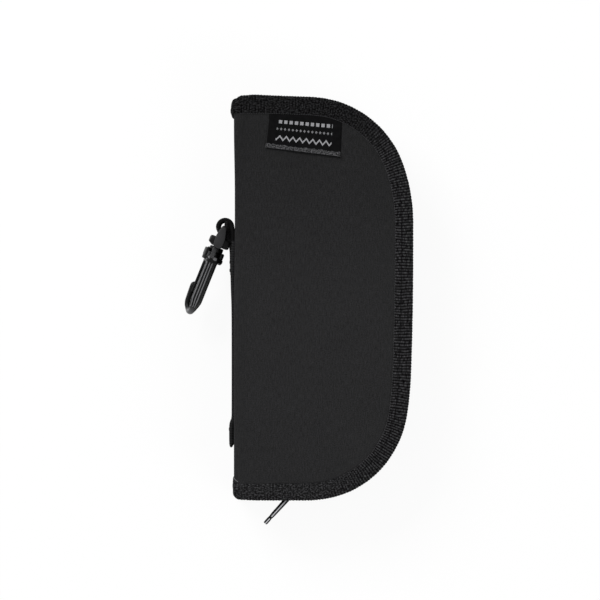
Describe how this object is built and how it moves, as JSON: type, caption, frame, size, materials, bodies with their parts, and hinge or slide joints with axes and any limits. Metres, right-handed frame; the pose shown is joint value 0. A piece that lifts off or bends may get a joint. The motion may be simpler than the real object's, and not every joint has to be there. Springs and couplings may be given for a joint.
{
  "type": "glucose meter case",
  "caption": "Soft zip-around case with a folding cover, elastic loops and a mesh pocket inside, a strap on the spine and a swivel snap hook.",
  "frame": {"origin": "middle of the flat outer face of the back cover, on which the closed case lies", "axes": "+X from the spine to the rounded edge, +Y to the top edge with the label, +Z out through the front cover"},
  "size_m": [0.1129, 0.2106, 0.0324],
  "materials": {
    "nylon": "matt black fine woven nylon",
    "foam": "grey laminated foam",
    "lining": "matt black woven lining",
    "grosgrain": "black ribbed grosgrain tape",
    "webbing": "black woven webbing",
    "satin": "black woven satin label",
    "zip_tape": "black woven zip tape",
    "zip_teeth": "black nylon coil",
    "black_metal": "dark plated zinc",
    "hook_plastic": "moulded black acetal",
    "elastic": "black knitted elastic",
    "mesh": "black polyester mesh"
  },
  "bodies": {
    "back_half": {"back_cover_fabric": "nylon", "back_cover_foam": "foam", "back_cover_lining": "lining", "back_binding": "grosgrain", "back_zip_tape": "zip_tape", "back_zip_teeth": "zip_teeth", "zip_stop_top": "black_metal", "zip_stop_bottom": "black_metal", "meter_band": "elastic", "lancet_loop": "elastic", "vial_loop": "elastic"},
    "spine": {"spine_foam": "foam", "spine_fabric": "nylon", "spine_lining": "lining", "spine_binding_top": "grosgrain", "spine_binding_bottom": "grosgrain", "spine_strap": "webbing", "hook_loop": "webbing", "bartack_loop_upper": "webbing", "bartack_loop_lower": "webbing", "bartack_strap_end": "webbing"},
    "front_half": {"front_cover_fabric": "nylon", "front_cover_foam": "foam", "front_cover_lining": "lining", "front_binding": "grosgrain", "front_zip_tape": "zip_tape", "front_zip_teeth": "zip_teeth", "mesh_pocket": "mesh", "pocket_edge": "elastic", "woven_label": "satin"},
    "eye": {"hook_eye": "hook_plastic"},
    "hook": {"hook_body": "hook_plastic"},
    "gate": {"hook_gate": "hook_plastic"},
    "slider": {"slider_body": "black_metal", "slider_bridge": "black_metal"},
    "pull": {"pull_tab": "black_metal"}
  },
  "joints": [
    {"name": "spine_fold", "type": "hinge", "parent": "back_half", "child": "spine", "pos_m": [-0.0423, 0, 0.0017], "axis": [0, -1, 0], "range_deg": [0, 90]},
    {"name": "cover_fold", "type": "hinge", "parent": "spine", "child": "front_half", "pos_m": [-0.0423, 0, 0.0303], "axis": [0, -1, 0], "range_deg": [0, 90]},
    {"name": "hook_swing", "type": "hinge", "parent": "spine", "child": "eye", "pos_m": [-0.04905, 0.0339, 0.016], "axis": [0, 0, -1], "range_deg": [0, 130]},
    {"name": "hook_swivel", "type": "hinge", "parent": "eye", "child": "hook", "pos_m": [-0.04905, 0.0339, 0.016], "axis": [-0.3746, -0.9272, 0], "continuous": true},
    {"name": "gate_press", "type": "hinge", "parent": "hook", "child": "gate", "pos_m": [-0.05713, 0.01576, 0.01339], "axis": [-0.8956, 0.3618, 0.2588], "range_deg": [0, 13], "stiffness_Nm_per_rad": 0.02},
    {"name": "zip_travel", "type": "hinge", "parent": "back_half", "child": "slider", "pos_m": [-0.0084, -0.0504, 0.016], "axis": [0, 0, 1], "range_deg": [0, 72]},
    {"name": "pull_swing", "type": "hinge", "parent": "slider", "child": "pull", "pos_m": [-0.01651, -0.09794, 0.016], "axis": [0, 0, 1], "range_deg": [-40, 110]}
  ],
  "couplings": [
    {"joint": "cover_fold", "follows": "spine_fold", "ratio": 1}
  ]
}
